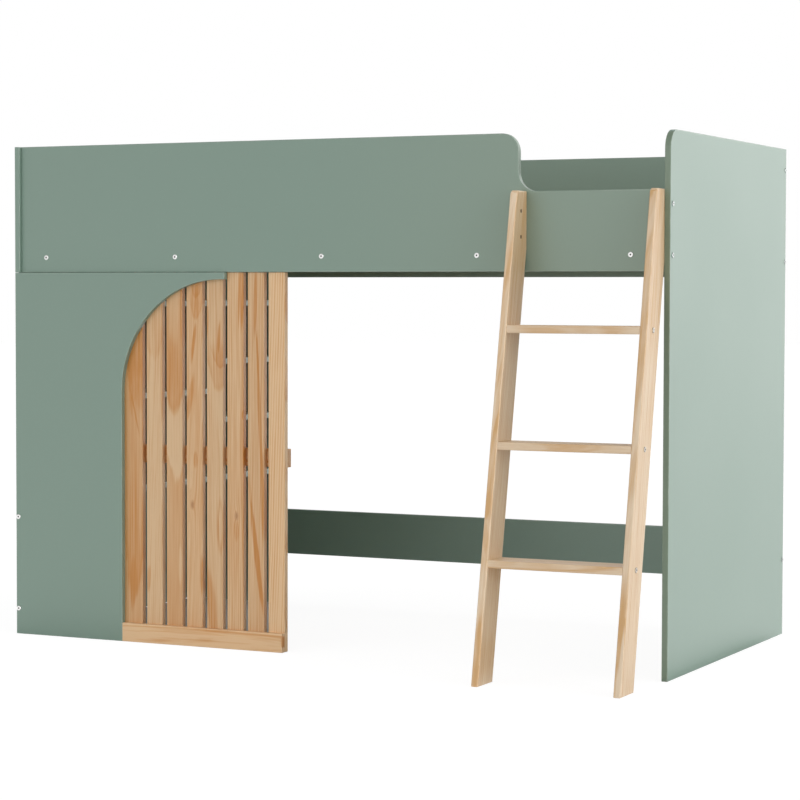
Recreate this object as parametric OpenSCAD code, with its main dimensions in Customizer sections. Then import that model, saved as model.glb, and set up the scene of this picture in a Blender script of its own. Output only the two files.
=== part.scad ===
// Raised single cabin bed: two end panels carry the guard panels and a slatted base. Below it are an
// arched front panel with a slatted pine screen, a bookcase behind the screen, and a leaning ladder.
// Lengths are measured from the left end panel's outer face, depths from the end panels' front
// edges and heights from the floor. place() then moves all of it to the middle of its footprint.

/* [Bed] */
// Length over the end panels
bed_length = 1970; // [1940:10:2080]
// Depth over the end panels
bed_depth = 980; // [960:10:1100]
// Height of the end panels
bed_height = 1390; // [1390:10:1480]
// Thickness of the painted boards
board = 16; // [15:1:18]

/* [Guard panels] */
// Underside of the front guard panel
guard_bottom = 1034; // [1030:1:1060]
// Top of the guard's low part, where the ladder stands
guard_low_top = 1240; // [1230:1:1240]
// How far the front guard sits back from the end panels' front edges
guard_recess = 10; // [7:1:12]
// Where the front guard steps down
guard_step_x = 1553; // [1500:1:1600]
// Convex radius at the head of the step, and of the right end panel's corner
step_round_r = 48; // [20:1:60]
// Hollow radius at the foot of the step
step_hollow_r = 50; // [40:1:80]
// Height of the rear guard panel
rear_guard_height = 350; // [340:1:360]
// How far the rear guard's top lies below the end panels' top
rear_guard_drop = 14; // [0:1:20]
// Underside of the rear lower rail
lower_rail_bottom = 156; // [100:1:200]
// Height of the rear lower rail
lower_rail_height = 140; // [100:1:180]

/* [Slatted base] */
// Thickness of the side rails under the slats
side_rail_t = 30; // [25:1:40]
// Height of the side rails
side_rail_h = 60; // [50:1:70]
// Width of a base slat
base_slat_w = 70; // [50:1:90]
// Thickness of a base slat
base_slat_t = 15; // [12:1:20]

/* [Arch panel and screen] */
// Upright edge of the arch
arch_edge_x = 356; // [350:1:380]
// Radius of the arch
arch_r = 315; // [280:1:320]
// Height of the strip over the crown of the arch
arch_strip = 20; // [15:1:30]
// Right end of the strip over the arch
arch_end_x = 686; // [685:1:720]
// Width of a screen slat
screen_slat_w = 50.5; // [44:0.5:54]
// Gap between two screen slats
screen_gap = 14.1; // [12:0.1:16]
// Thickness of the screen's slats and of the rail behind them
screen_t = 18; // [18:1:24]
// Right end of the screen
screen_end_x = 865.5; // [860:0.5:900]
// Height of the rail along the screen's foot
screen_foot_h = 52; // [45:1:60]
// Underside of the rail behind the slats
screen_mid_z = 503; // [480:1:520]
// Height of the rail behind the slats
screen_mid_h = 50; // [40:1:60]

/* [Bookcase] */
// Depth of the bookcase, from the left end panel towards the den
case_depth = 330; // [300:1:330]
// Height of the bookcase
case_height = 954; // [900:1:960]
// Middle of the bottom shelf
case_low_z = 422; // [400:1:440]
// Middle of the divider between the front and the rear bay
case_split_y = 499; // [480:1:510]

/* [Ladder] */
// Lean of the ladder from upright, in degrees
ladder_lean = 10.8; // [9:0.1:12]
// How far the ladder's feet stand out in front of the bed
ladder_reach = 290; // [280:1:300]
// Width over the stiles
ladder_width = 397; // [380:1:400]
// Thickness of stiles and rungs
ladder_t = 20; // [18:1:22]
// Depth of a stile, square to its length
stile_depth = 90; // [85:1:95]
// Depth of a rung
rung_depth = 84; // [75:1:86]
// Underside of the lowest rung
rung_first_z = 291; // [270:1:300]
// Rise from one rung to the next
rung_rise = 293; // [280:1:295]

/* [Hidden] */
$fn = 48;
ARC_FN = 144;
BASE_SLATS = 14;
SCREEN_SLATS = 8;
RUNGS = 3;

base_slat_names = [for (i = [1 : BASE_SLATS]) str("base_slat_", i)];
screen_slat_names = [for (i = [1 : SCREEN_SLATS]) str("screen_slat_", i)];
rung_names = [for (i = [1 : RUNGS]) str("ladder_rung_", i)];

// Boards and the spaces between them
inner_length = bed_length - 2 * board;
inner_end_x = bed_length - board;
guard_back_y = guard_recess + board;
guard_mid_y = guard_recess + board / 2;
rear_face_y = bed_depth - board;
rear_mid_y = bed_depth - board / 2;
rear_guard_top = bed_height - rear_guard_drop;
rear_guard_bottom = rear_guard_top - rear_guard_height;
side_rail_z = guard_bottom + 12;
base_slat_z = side_rail_z + side_rail_h;
base_slat_pitch = inner_length / BASE_SLATS;
base_slat_end_gap = 3;

// Screen: its slats are counted from the left, and the first is wider, to lap behind the arch panel
arch_cx = arch_edge_x + arch_r;
arch_crown_z = guard_bottom - arch_strip;
screen_pitch = screen_slat_w + screen_gap;
first_slat_x = board + case_depth + 4;
screen_back_y = board + screen_t;
screen_mid_back_y = screen_back_y + screen_t;

// Bookcase: it fills the bay between the arch panel and the rear lower rail
case_end_x = board + case_depth;
case_rear_y = rear_face_y;
case_front_bay = case_split_y - board * 5 / 2;
case_rear_bay = case_rear_y - case_split_y - board * 3 / 2;
case_top_z = case_height - board / 2;
case_span_z = case_top_z - case_low_z;

// Ladder
lean = tan(ladder_lean);
ladder_end_x = inner_end_x;
ladder_x = ladder_end_x - ladder_width;
stile_run = stile_depth / cos(ladder_lean);
stile_heel_z = (guard_recess + ladder_reach - stile_run) / lean;
stile_crown = 7;
left_stile_mid_x = ladder_x + ladder_t / 2;
right_stile_mid_x = ladder_end_x - ladder_t / 2;

// Fasteners
bolt_r = 3;
bolt_bore_r = 3.1;
bolt_head_r = 7;
bolt_head_t = 2;
socket_r = 2.3;
socket_depth = 1.6;
nut_r = 5;
nut_hole_r = 5.05;
nut_length = 10;
board_bolt_depth = board / 2;
ladder_bolt_depth = ladder_t / 2;
nut_inset = 34;
insert_length = 16;
screw_r = 2;
screw_hole_r = 2.05;
screw_head_r = 4.5;
screw_head_t = 3;
dowel_r = 3;
dowel_hole_r = 3.05;
dowel_half = 15;
bolt_overrun = 5;

end_bolt_length = board + nut_inset + bolt_overrun;
rail_bolt_z = side_rail_z + side_rail_h / 2;
rail_bolt_x = [100, 524, 980, 1436, bed_length - 109];
rail_bolt_length = board + insert_length + bolt_overrun;
rear_bolts = [
    [rear_mid_y, lower_rail_bottom + 59],
    [rear_mid_y, rear_guard_bottom + 43],
    [rear_mid_y, rear_guard_top - 46]
];
left_front_bolts = [[guard_mid_y, guard_bottom + 40], [guard_mid_y, bed_height - 40]];
right_front_bolts = [[guard_mid_y, guard_bottom + 40], [guard_mid_y, guard_low_top - 37]];
ladder_bolt_z = [guard_low_top - 118, guard_low_top - 52];
ladder_nut_y = guard_recess - 39;
ladder_bolt_length = guard_back_y - ladder_nut_y + bolt_overrun;
rung_nut_inset = 26;
rung_bolt_length = ladder_t + rung_nut_inset + bolt_overrun;
arch_screw_z = [73, 336];
arch_screw_length = 45;
mid_screw_length = 32;
foot_screw_length = 30;
top_screw_length = 30;
top_screw_shift = 12;
top_screwed_slats = 5;
base_screw_length = 35;
base_screw_inset = 15;
case_screw_length = 50;
case_screw_x = [board + 50, case_end_x - 50];
case_screw_y = [250, 730];
dowel_y = (guard_recess + board + board) / 2;

// Paint and timber
sage = [0.52, 0.60, 0.54];
pine = [0.82, 0.66, 0.48];
pale_pine = [0.87, 0.73, 0.57];
steel = [0.78, 0.78, 0.78];

function stile_front(z) = z * lean - ladder_reach;
function rung_z(i) = rung_first_z + (i - 1) * rung_rise;
function rung_front(i) = stile_front(rung_z(i) + ladder_t);
function base_slat_x(i) = board + (i - 0.5) * base_slat_pitch;
function screen_slat_x(i) = screen_end_x - screen_slat_w - (SCREEN_SLATS - i) * screen_pitch;
function screen_mid_x(i) = screen_slat_x(i) + screen_slat_w / 2;
function case_share_z(share) = case_low_z + share * case_span_z;

// Moves the bed so that its origin is the middle of its footprint, on the floor
module place() {
    front = -ladder_reach;
    back = bed_depth + bolt_head_t;
    translate([-bed_length / 2, -(front + back) / 2, 0]) children();
}

// A board standing across the bed, drawn as depth and height, from x towards the right
module cross_board(x, thickness = board) {
    translate([x, 0, 0]) rotate([90, 0, 90]) linear_extrude(thickness) children();
}

// A board standing along the bed, drawn as length and height, from y towards the rear
module long_board(y, thickness = board) {
    translate([0, y + thickness, 0]) rotate([90, 0, 0]) linear_extrude(thickness) children();
}

// What is cut away outside a quarter circle, to round a corner
module corner_waste(r) {
    difference() {
        square(r + 1);
        circle(r, $fn = ARC_FN);
    }
}

// Fasteners point up from their seat at height 0
module bolt(length) {
    difference() {
        union() {
            translate([0, 0, -bolt_head_t]) cylinder(h = bolt_head_t, r = bolt_head_r);
            cylinder(h = length, r = bolt_r);
        }
        translate([0, 0, -bolt_head_t]) cylinder(h = socket_depth, r = socket_r, $fn = 6);
    }
}

module bolt_bore(length) {
    translate([0, 0, -1]) cylinder(h = length + 2, r = bolt_bore_r);
}

// A barrel nut lies in a hole with its mouth at height 0, and a bolt crosses it at this depth
module barrel_nut(bolt_depth) {
    translate([0, 0, bolt_depth]) difference() {
        cylinder(h = nut_length, r = nut_r, center = true);
        rotate([0, 90, 0]) cylinder(h = 3 * nut_r, r = bolt_bore_r, center = true);
    }
}

module nut_hole(bolt_depth) {
    translate([0, 0, -1]) cylinder(h = bolt_depth + nut_length / 2 + 1, r = nut_hole_r);
}

module insert() {
    difference() {
        cylinder(h = insert_length, r = nut_r);
        translate([0, 0, -1]) cylinder(h = insert_length + 2, r = bolt_bore_r);
    }
}

module screw(length) {
    cylinder(h = screw_head_t, r1 = screw_head_r, r2 = screw_r);
    cylinder(h = length, r = screw_r);
}

module screw_hole(length) {
    gap = screw_hole_r - screw_r;
    cylinder(h = screw_head_t, r1 = screw_head_r + gap, r2 = screw_hole_r);
    translate([0, 0, -1]) cylinder(h = length + 1.5, r = screw_hole_r);
}

module dowel() {
    cylinder(h = 2 * dowel_half, r = dowel_r, center = true);
}

module dowel_hole() {
    cylinder(h = 2 * dowel_half + 1, r = dowel_hole_r, center = true);
}

// Places of the fasteners. Each turns its children to point the way the fastener goes.
module pointing_right() rotate([0, 90, 0]) children();
module pointing_left() rotate([0, -90, 0]) children();
module pointing_back() rotate([-90, 0, 0]) children();
module pointing_front() rotate([90, 0, 0]) children();
module pointing_down() rotate([180, 0, 0]) children();

module at_left_bolts(places) {
    for (p = places) translate([0, p[0], p[1]]) pointing_right() children();
}

module at_right_bolts(places) {
    for (p = places) translate([bed_length, p[0], p[1]]) pointing_left() children();
}

module at_end_bolts() {
    at_left_bolts(concat(left_front_bolts, rear_bolts)) children();
    at_right_bolts(concat(right_front_bolts, rear_bolts)) children();
}

// Mouths of the holes for the barrel nuts at both ends of a panel: the front ones open to the bed's
// inside, the rear ones to its back
module at_front_nuts() {
    nut_x = board + nut_inset;
    for (p = left_front_bolts) translate([nut_x, guard_back_y, p[1]]) pointing_front() children();
    for (p = right_front_bolts) {
        translate([bed_length - nut_x, guard_back_y, p[1]]) pointing_front() children();
    }
}

module at_rear_nuts() {
    nut_x = board + nut_inset;
    for (x = [nut_x, bed_length - nut_x]) {
        for (p = rear_bolts) translate([x, bed_depth, p[1]]) pointing_front() children();
    }
}

module at_front_rail_bolts() {
    for (x = rail_bolt_x) translate([x, guard_recess, rail_bolt_z]) pointing_back() children();
}

module at_rear_rail_bolts() {
    for (x = rail_bolt_x) translate([x, bed_depth, rail_bolt_z]) pointing_front() children();
}

module at_ladder_bolts() {
    for (x = [left_stile_mid_x, right_stile_mid_x]) {
        for (z = ladder_bolt_z) translate([x, guard_back_y, z]) pointing_front() children();
    }
}

module at_ladder_nuts() {
    for (z = ladder_bolt_z) {
        translate([ladder_x + ladder_t, ladder_nut_y, z]) pointing_left() children();
        translate([ladder_end_x - ladder_t, ladder_nut_y, z]) pointing_right() children();
    }
}

module at_rung_bolts(i) {
    y = rung_front(i) + rung_depth / 2;
    z = rung_z(i) + ladder_t / 2;
    translate([ladder_x, y, z]) pointing_right() children();
    translate([ladder_end_x, y, z]) pointing_left() children();
}

module at_rung_nuts(i) {
    y = rung_front(i) + rung_depth / 2;
    nut_x = ladder_t + rung_nut_inset;
    for (x = [ladder_x + nut_x, ladder_end_x - nut_x]) translate([x, y, rung_z(i)]) children();
}

module at_arch_screws() {
    for (z = arch_screw_z) translate([board / 2, 0, z]) pointing_back() children();
}

module at_mid_screws(slats) {
    z = screen_mid_z + screen_mid_h / 2;
    for (i = slats) translate([screen_mid_x(i), screen_mid_back_y, z]) pointing_front() children();
}

module at_foot_screws(slats) {
    z = screen_foot_h / 2;
    for (i = slats) translate([screen_mid_x(i), screen_back_y, z]) pointing_front() children();
}

// The screws at the slats' heads pass beside the dowels
module at_top_screws(slats) {
    z = guard_bottom - arch_strip / 2;
    for (i = slats) {
        x = screen_mid_x(i) + top_screw_shift;
        if (i <= top_screwed_slats) translate([x, screen_back_y, z]) pointing_front() children();
    }
}

module at_base_screws(slats) {
    z = base_slat_z + base_slat_t;
    for (i = slats) {
        for (y = [guard_back_y + base_screw_inset, rear_face_y - base_screw_inset]) {
            translate([base_slat_x(i), y, z]) pointing_down() children();
        }
    }
}

module at_dowels(slats) {
    for (i = slats) translate([screen_mid_x(i), dowel_y, guard_bottom]) children();
}

// Bookcase screws: through both sides into the shelves, down through the top, up through the bottom
// shelf, through the divider into the middle shelves, and through the left end panel
module at_case_screws() {
    for (x = case_screw_x) {
        for (share = [0, 1 / 2]) {
            translate([x, board, case_share_z(share)]) pointing_back() children();
        }
        for (share = [0, 1 / 3, 2 / 3, 1]) {
            translate([x, case_rear_y, case_share_z(share)]) pointing_front() children();
        }
        for (y = [board * 3 / 2, case_split_y]) {
            translate([x, y, case_height]) pointing_down() children();
        }
        translate([x, case_split_y, case_low_z - board / 2]) children();
        translate([x, case_split_y + board / 2, case_share_z(1 / 2)]) pointing_front() children();
        for (share = [1 / 3, 2 / 3]) {
            translate([x, case_split_y - board / 2, case_share_z(share)]) pointing_back() children();
        }
    }
    for (y = case_screw_y) {
        for (z = [case_low_z, case_top_z]) translate([0, y, z]) pointing_right() children();
    }
}

// Painted panels
module left_end_panel() {
    color(sage) difference() {
        cross_board(0) difference() {
            square([bed_depth, bed_height]);
            translate([-1, -1]) square([board + 1, guard_bottom + 1]);
        }
        at_end_bolts() bolt_bore(end_bolt_length);
        at_arch_screws() bolt_bore(arch_screw_length);
        at_case_screws() screw_hole(case_screw_length);
    }
}

module right_end_panel() {
    color(sage) difference() {
        cross_board(inner_end_x) difference() {
            square([bed_depth, bed_height]);
            translate([step_round_r, bed_height - step_round_r]) mirror([1, 0]) corner_waste(step_round_r);
        }
        at_end_bolts() bolt_bore(end_bolt_length);
    }
}

module guard_outline() {
    step_h = bed_height - guard_low_top;
    difference() {
        translate([board, guard_bottom]) square([inner_length, bed_height - guard_bottom]);
        translate([guard_step_x, guard_low_top]) difference() {
            square([bed_length, step_h + 1]);
            translate([step_hollow_r, step_hollow_r]) rotate(180) corner_waste(step_hollow_r);
        }
        translate([guard_step_x - step_round_r, bed_height - step_round_r]) corner_waste(step_round_r);
    }
}

module front_guard() {
    color(sage) difference() {
        long_board(guard_recess) guard_outline();
        at_end_bolts() bolt_bore(end_bolt_length);
        at_front_nuts() nut_hole(board_bolt_depth);
        at_front_rail_bolts() bolt_bore(rail_bolt_length);
        at_ladder_bolts() bolt_bore(ladder_bolt_length);
        at_dowels([1 : SCREEN_SLATS]) dowel_hole();
    }
}

module rear_guard() {
    color(sage) difference() {
        long_board(rear_face_y) translate([board, rear_guard_bottom]) square([inner_length, rear_guard_height]);
        at_end_bolts() bolt_bore(end_bolt_length);
        at_rear_nuts() nut_hole(board_bolt_depth);
        at_rear_rail_bolts() bolt_bore(rail_bolt_length);
    }
}

module rear_lower_rail() {
    color(sage) difference() {
        long_board(rear_face_y) translate([board, lower_rail_bottom]) square([inner_length, lower_rail_height]);
        at_end_bolts() bolt_bore(end_bolt_length);
        at_rear_nuts() nut_hole(board_bolt_depth);
    }
}

module arch_outline() {
    difference() {
        square([arch_end_x, guard_bottom]);
        translate([arch_edge_x, -1]) square([arch_end_x, arch_crown_z - arch_r + 1]);
        translate([arch_cx, arch_crown_z - arch_r]) circle(arch_r, $fn = ARC_FN);
        translate([arch_cx, -1]) square([arch_end_x, arch_crown_z + 1]);
    }
}

module arch_panel() {
    color(sage) difference() {
        long_board(0) arch_outline();
        at_arch_screws() bolt_bore(arch_screw_length);
        at_top_screws([1 : SCREEN_SLATS]) screw_hole(top_screw_length);
    }
}

// Slatted base
module side_rail(y) {
    translate([board, y, side_rail_z]) cube([inner_length, side_rail_t, side_rail_h]);
}

module front_side_rail() {
    color(pine) difference() {
        side_rail(guard_back_y);
        at_front_rail_bolts() bolt_bore(rail_bolt_length);
        at_front_rail_bolts() translate([0, 0, board]) cylinder(h = insert_length, r = nut_hole_r);
        at_base_screws([1 : BASE_SLATS]) screw_hole(base_screw_length);
    }
}

module rear_side_rail() {
    color(pine) difference() {
        side_rail(rear_face_y - side_rail_t);
        at_rear_rail_bolts() bolt_bore(rail_bolt_length);
        at_rear_rail_bolts() translate([0, 0, board]) cylinder(h = insert_length, r = nut_hole_r);
        at_base_screws([1 : BASE_SLATS]) screw_hole(base_screw_length);
    }
}

module base_slat(i) {
    y = guard_back_y + base_slat_end_gap;
    length = rear_face_y - guard_back_y - 2 * base_slat_end_gap;
    x = base_slat_x(i) - base_slat_w / 2;
    color(pine) difference() {
        translate([x, y, base_slat_z]) cube([base_slat_w, length, base_slat_t]);
        at_base_screws([i]) screw_hole(base_screw_length);
    }
}

// Slatted screen
module screen_slat(i) {
    x = i == 1 ? first_slat_x : screen_slat_x(i);
    width = screen_slat_x(i) + screen_slat_w - x;
    color(pine) difference() {
        translate([x, board, 0]) cube([width, screen_t, guard_bottom]);
        at_mid_screws([i]) screw_hole(mid_screw_length);
        at_foot_screws([i]) screw_hole(foot_screw_length);
        at_top_screws([i]) screw_hole(top_screw_length);
        at_dowels([i]) dowel_hole();
    }
}

module screen_foot_rail() {
    color(pine) difference() {
        translate([arch_edge_x, 0, 0]) cube([screen_end_x - arch_edge_x, board, screen_foot_h]);
        at_foot_screws([1 : SCREEN_SLATS]) screw_hole(foot_screw_length);
    }
}

module screen_mid_rail() {
    length = screen_end_x - first_slat_x;
    color(pine) difference() {
        translate([first_slat_x, screen_back_y, screen_mid_z]) cube([length, screen_t, screen_mid_h]);
        at_mid_screws([1 : SCREEN_SLATS]) screw_hole(mid_screw_length);
    }
}

// Bookcase: its open side faces the den, and the left end panel is its back. Its rear side runs on up
// to the side rail, and closes the bay above the top.
module case_board(y, z, size_y, size_z) {
    color(sage) difference() {
        translate([board, y, z]) cube([case_depth, size_y, size_z]);
        at_case_screws() screw_hole(case_screw_length);
    }
}

module case_upright(y, z) case_board(y, z, board, case_height - board - z);
module case_shelf(y, share, size_y) case_board(y, case_share_z(share) - board / 2, size_y, board);

module bookcase_front_side() case_upright(board, 0);
module bookcase_rear_side() case_board(case_rear_y - board, 0, board, side_rail_z);
module bookcase_divider() case_upright(case_split_y - board / 2, case_low_z + board / 2);
module bookcase_top() case_shelf(board, 1, case_rear_y - 2 * board);
module bookcase_bottom_shelf() case_shelf(2 * board, 0, case_rear_y - 3 * board);
module bookcase_front_shelf() case_shelf(2 * board, 1 / 2, case_front_bay);
module bookcase_lower_shelf() case_shelf(case_split_y + board / 2, 1 / 3, case_rear_bay);
module bookcase_upper_shelf() case_shelf(case_split_y + board / 2, 2 / 3, case_rear_bay);

// Ladder: the stiles lean, and their heads are cut upright to lie against the guard
module stile(x) {
    top = guard_low_top;
    front = stile_front(top);
    color(pale_pine) difference() {
        cross_board(x, ladder_t) polygon([
            [-ladder_reach, 0],
            [stile_run - ladder_reach, 0],
            [guard_recess, stile_heel_z],
            [guard_recess, top],
            [front + stile_crown, top],
            [stile_front(top - stile_crown), top - stile_crown]
        ]);
        at_ladder_bolts() bolt_bore(ladder_bolt_length);
        at_ladder_nuts() nut_hole(ladder_bolt_depth);
        for (i = [1 : RUNGS]) at_rung_bolts(i) bolt_bore(rung_bolt_length);
    }
}

module ladder_left_stile() stile(ladder_x);
module ladder_right_stile() stile(ladder_end_x - ladder_t);

module ladder_rung(i) {
    length = ladder_width - 2 * ladder_t;
    color(pale_pine) difference() {
        translate([ladder_x + ladder_t, rung_front(i), rung_z(i)]) cube([length, rung_depth, ladder_t]);
        at_rung_bolts(i) bolt_bore(rung_bolt_length);
        at_rung_nuts(i) nut_hole(ladder_bolt_depth);
    }
}

// Fasteners
module end_panel_bolts() color(steel) at_end_bolts() bolt(end_bolt_length);

module end_barrel_nuts() {
    color(steel) {
        at_front_nuts() barrel_nut(board_bolt_depth);
        at_rear_nuts() barrel_nut(board_bolt_depth);
    }
}

module side_rail_bolts() {
    color(steel) {
        at_front_rail_bolts() bolt(rail_bolt_length);
        at_rear_rail_bolts() bolt(rail_bolt_length);
    }
}

module side_rail_inserts() {
    color(steel) {
        at_front_rail_bolts() translate([0, 0, board]) insert();
        at_rear_rail_bolts() translate([0, 0, board]) insert();
    }
}

module ladder_bolts() color(steel) at_ladder_bolts() bolt(ladder_bolt_length);
module ladder_barrel_nuts() color(steel) at_ladder_nuts() rotate(90) barrel_nut(ladder_bolt_depth);
module rung_bolts() color(steel) for (i = [1 : RUNGS]) at_rung_bolts(i) bolt(rung_bolt_length);

module rung_barrel_nuts() {
    color(steel) for (i = [1 : RUNGS]) at_rung_nuts(i) barrel_nut(ladder_bolt_depth);
}

module arch_screws() color(steel) at_arch_screws() bolt(arch_screw_length);

module screen_screws() {
    color(steel) {
        at_mid_screws([1 : SCREEN_SLATS]) screw(mid_screw_length);
        at_foot_screws([1 : SCREEN_SLATS]) screw(foot_screw_length);
        at_top_screws([1 : SCREEN_SLATS]) screw(top_screw_length);
    }
}

module base_slat_screws() color(steel) at_base_screws([1 : BASE_SLATS]) screw(base_screw_length);
module bookcase_screws() color(steel) at_case_screws() screw(case_screw_length);
module screen_dowels() color(pine) at_dowels([1 : SCREEN_SLATS]) dowel();

place() left_end_panel();
place() right_end_panel();
place() front_guard();
place() rear_guard();
place() rear_lower_rail();
place() front_side_rail();
place() rear_side_rail();
for (i = [1 : BASE_SLATS]) place() base_slat(i);
place() arch_panel();
place() screen_foot_rail();
place() screen_mid_rail();
for (i = [1 : SCREEN_SLATS]) place() screen_slat(i);
place() bookcase_front_side();
place() bookcase_rear_side();
place() bookcase_divider();
place() bookcase_top();
place() bookcase_bottom_shelf();
place() bookcase_front_shelf();
place() bookcase_lower_shelf();
place() bookcase_upper_shelf();
place() ladder_left_stile();
place() ladder_right_stile();
for (i = [1 : RUNGS]) place() ladder_rung(i);
place() end_panel_bolts();
place() end_barrel_nuts();
place() side_rail_bolts();
place() side_rail_inserts();
place() ladder_bolts();
place() ladder_barrel_nuts();
place() rung_bolts();
place() rung_barrel_nuts();
place() arch_screws();
place() screen_screws();
place() base_slat_screws();
place() bookcase_screws();
place() screen_dowels();
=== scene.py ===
"""Looks of the cabin bed: painted boards, pine timber and zinc-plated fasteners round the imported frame.

Lengths are in millimetres in the bed's own frame, from the left end panel's outer face, the end
panels' front edges and the floor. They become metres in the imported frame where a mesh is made.
"""

import math

import bmesh
import bpy
from mathutils import Matrix, Quaternion, Vector


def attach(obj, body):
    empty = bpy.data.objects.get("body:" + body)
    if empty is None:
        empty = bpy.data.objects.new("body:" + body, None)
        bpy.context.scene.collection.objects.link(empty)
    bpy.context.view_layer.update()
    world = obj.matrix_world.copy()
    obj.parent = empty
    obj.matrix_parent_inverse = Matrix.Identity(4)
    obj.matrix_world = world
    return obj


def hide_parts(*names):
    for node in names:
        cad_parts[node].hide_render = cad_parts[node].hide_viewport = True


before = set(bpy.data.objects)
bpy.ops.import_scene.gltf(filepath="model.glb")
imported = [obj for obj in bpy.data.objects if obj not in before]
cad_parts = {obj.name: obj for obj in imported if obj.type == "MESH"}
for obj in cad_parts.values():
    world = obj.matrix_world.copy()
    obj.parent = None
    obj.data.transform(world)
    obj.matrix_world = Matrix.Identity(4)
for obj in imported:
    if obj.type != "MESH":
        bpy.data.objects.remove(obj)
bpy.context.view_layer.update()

RIGHT, BACK, UP = Vector((1, 0, 0)), Vector((0, 1, 0)), Vector((0, 0, 1))

# ---------------------------------------------------------------- sizes of the bed
# The bed without its ladder, its boards, and how far the ladder reaches in front of it and the bolts'
# heads stand proud behind it
BED = Vector((1970, 980, 1390))
BOARD = 16
HALF_BOARD = BOARD / 2
REACH = 290
BOLT_HEAD = 2
ORIGIN = Vector((BED.x / 2, (BED.y + BOLT_HEAD - REACH) / 2, 0))
INNER_X = (BOARD, BED.x - BOARD)

# The guards. The front one steps down to its low part at the ladder: STEP_HOLLOW is the radius of the
# step's foot, and TOP_ROUND that of its head and of the right end panel's top.
GUARD_FRONT, GUARD_Z = 10, 1034
GUARD_BACK = GUARD_FRONT + BOARD
STEP_X, LOW_TOP = 1553, 1240
STEP_HOLLOW, TOP_ROUND = 50, 48
REAR_FACE = BED.y - BOARD
REAR_GUARD_Z = (1026, 1376)
LOWER_RAIL_Z = (156, 296)

# The base: side rails bolted to the guards, and slats screwed down on them
SIDE_RAIL_T, SIDE_RAIL_Z = 30, (1046, 1106)
SIDE_RAIL_MID = sum(SIDE_RAIL_Z) / 2
BASE_SLATS, BASE_SLAT_W, BASE_SLAT_TOP, BASE_SLAT_GAP = 14, 70, 1121, 3

# The screen under the guard: the arch panel, the slats behind it and their two rails. SEAM is the gap
# under the guard. The arch panel's strip covers the heads of the first STRIP_SLATS slats.
ARCH_X, ARCH_TOP, ARCH_R, STRIP_END = 356, 1014, 315, 686
SCREEN_SLATS, STRIP_SLATS, SLAT_W, SLAT_PITCH, SLAT_T = 8, 5, 50.5, 64.6, 18
SCREEN_START, SCREEN_END, SCREEN_BACK = 350, 865.5, BOARD + SLAT_T
FOOT_RAIL_TOP, MID_RAIL_Z = 52, (503, 553)
FOOT_RAIL_MID, MID_RAIL_MID = FOOT_RAIL_TOP / 2, sum(MID_RAIL_Z) / 2
SEAM = 0.8

# The bookcase: CASE_Z is the middle of its bottom shelf, CASE_SPAN the rise from there to the middle
# of its top, and SPLIT the middle of its divider
CASE_X = (BOARD, 346)
CASE_Z, CASE_SPAN, SPLIT = 422, 524, 499
CASE_TOP = CASE_Z + CASE_SPAN + HALF_BOARD
CASE_REAR = REAR_FACE - BOARD

# The ladder: its stiles lean back, and their heads are cut upright to lie against the guard
LEAN_ANGLE = math.radians(10.8)
LEAN = math.tan(LEAN_ANGLE)
LADDER_X = (1557, INNER_X[1])
STILE_W, STILE_T = 90, 20
STILE_INNER_X = (LADDER_X[0] + STILE_T, LADDER_X[1] - STILE_T)
RUNG_D, RUNG_T = 84, 20
RUNG_Z = [291 + 293 * i for i in range(3)]

# Fasteners. A bolt's end passes the middle of its barrel nut by NUT_HALF, half the nut's length.
END_BOLT, SIDE_RAIL_BOLT, LADDER_BOLT, RUNG_BOLT, ARCH_SCREW = 55, 37, 60, 51, 45
NUT_R, NUT_HALF = 5.05, 5
SINK_R, SINK_DEPTH = 4.55, 3.0
END_NUT_X = (END_BOLT - NUT_HALF, BED.x - END_BOLT + NUT_HALF)
SIDE_RAIL_BOLT_X = (100, 524, 980, 1436, 1861)
LADDER_BOLT_Z = (1122, 1188)
LADDER_NUT_Y = GUARD_BACK - LADDER_BOLT + NUT_HALF
RUNG_NUT_X = (LADDER_X[0] + RUNG_BOLT - NUT_HALF, LADDER_X[1] - RUNG_BOLT + NUT_HALF)
LEFT_BOLT_Z, RIGHT_BOLT_Z, REAR_BOLT_Z = (1074, 1350), (1074, 1203), (215, 1069, 1330)
ARCH_SCREW_Z = (73, 336)
HEAD_SCREW_Z, HEAD_SCREW_SHIFT = 1024, 12
CASE_SCREW_X, CASE_END_SCREW_Y = (66, 296), (250, 730)
DOWEL_Y = 21


def metres(place):
    return (Vector(place) - ORIGIN) / 1000


def stile_front(z):
    return z * LEAN - REACH


def rung_mid(z):
    return stile_front(z + RUNG_T) + RUNG_D / 2


def slat_span(i):
    right = SCREEN_END - (SCREEN_SLATS - i) * SLAT_PITCH
    return (SCREEN_START if i == 1 else right - SLAT_W), right


# ---------------------------------------------------------------- colours
WHITE = (1, 1, 1, 1)
SAGE, PALE_SAGE = (0.180, 0.273, 0.217, 1), (0.193, 0.284, 0.231, 1)
SAGE_SPECK, RUBBED_SAGE = (0.33, 0.41, 0.35, 1), (0.44, 0.50, 0.43, 1)
# The first tint below paints light on the front guard, the second paints shade on the right end panel's
# front edge
PAINTED_LIGHT_TINT, LADDER_SHADE_TINT = (1.13, 1.03, 1.01, 1), (0.80, 0.75, 0.64, 1)
KNOT, KNOT_RIM = (0.42, 0.20, 0.08, 1), (0.48, 0.235, 0.095, 1)
# The second colour below is painted shade for the walls of drilled holes
RUBBED_PINE, BORE_SHADE = (0.80, 0.64, 0.46, 1), (0.10, 0.055, 0.022, 1)
# Painted shade for sockets, slots and the barrel nuts in their holes
RECESS_SHADE = (0.035, 0.032, 0.028, 1)


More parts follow.
